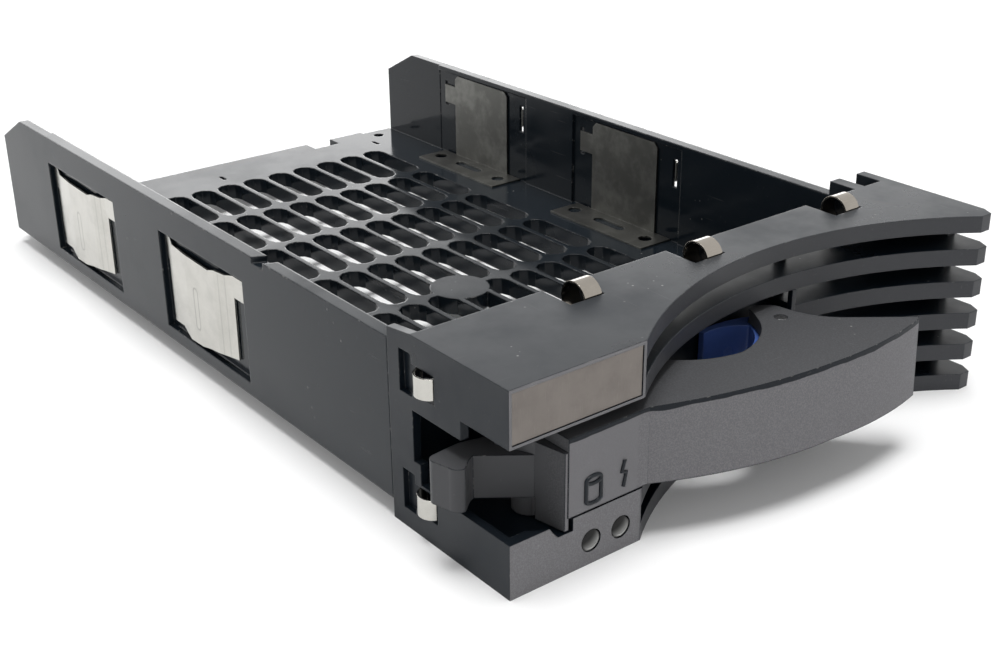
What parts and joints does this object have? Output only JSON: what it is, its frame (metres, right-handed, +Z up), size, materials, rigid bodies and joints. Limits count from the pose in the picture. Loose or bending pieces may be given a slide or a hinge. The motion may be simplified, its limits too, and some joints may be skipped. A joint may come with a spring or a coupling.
{
  "type": "hot swap drive caddy",
  "caption": "Black hot swap caddy for a 3.5-inch drive: slotted tray, louvred arched bezel, swinging handle with a blue release latch.",
  "frame": {"origin": "point on the bezel's underside, midway across its width and 20 mm behind its front face", "axes": "+X to the right across the front, +Y from the front to the rear, +Z up"},
  "size_m": [0.1133, 0.1958, 0.036],
  "materials": {
    "tray_plastic": "semi-gloss black, moulded",
    "bezel_plastic": "satin top, fine spark-eroded front",
    "handle_plastic": "spark-eroded matte black, worn along the front edge",
    "latch_plastic": "satin blue",
    "label_metal": "bare, dull",
    "clear_pipe": "smoked clear plastic",
    "spring_steel": "bright stainless strip",
    "pin_steel": "ground"
  },
  "bodies": {
    "carrier": {"tray": "tray_plastic", "bezel": "bezel_plastic", "label_plate": "label_metal", "light_pipe_left": "clear_pipe", "light_pipe_right": "clear_pipe", "tray_screws": "pin_steel", "pivot_pin": "pin_steel", "ground_spring_left_front": "spring_steel", "ground_spring_left_rear": "spring_steel", "ground_spring_right_front": "spring_steel", "ground_spring_right_rear": "spring_steel", "top_contact_left": "spring_steel", "top_contact_middle": "spring_steel", "top_contact_right": "spring_steel", "side_contact_lower": "spring_steel", "side_contact_upper": "spring_steel"},
    "handle": {"handle": "handle_plastic", "latch_pin": "pin_steel", "latch_spring": "spring_steel"},
    "latch": {"release_latch": "latch_plastic"}
  },
  "joints": [
    {"name": "handle_hinge", "type": "hinge", "parent": "carrier", "child": "handle", "pos_m": [-0.0439, -0.011, 0.014], "axis": [0, 0, -1], "range_deg": [0, 75]},
    {"name": "latch_hinge", "type": "hinge", "parent": "handle", "child": "latch", "pos_m": [0.0111, -0.0103, 0.0162], "axis": [0, 0, 1], "range_deg": [0, 14], "stiffness_Nm_per_rad": 0.03, "springref_deg": -5.73, "deforming": ["latch_spring"]}
  ]
}
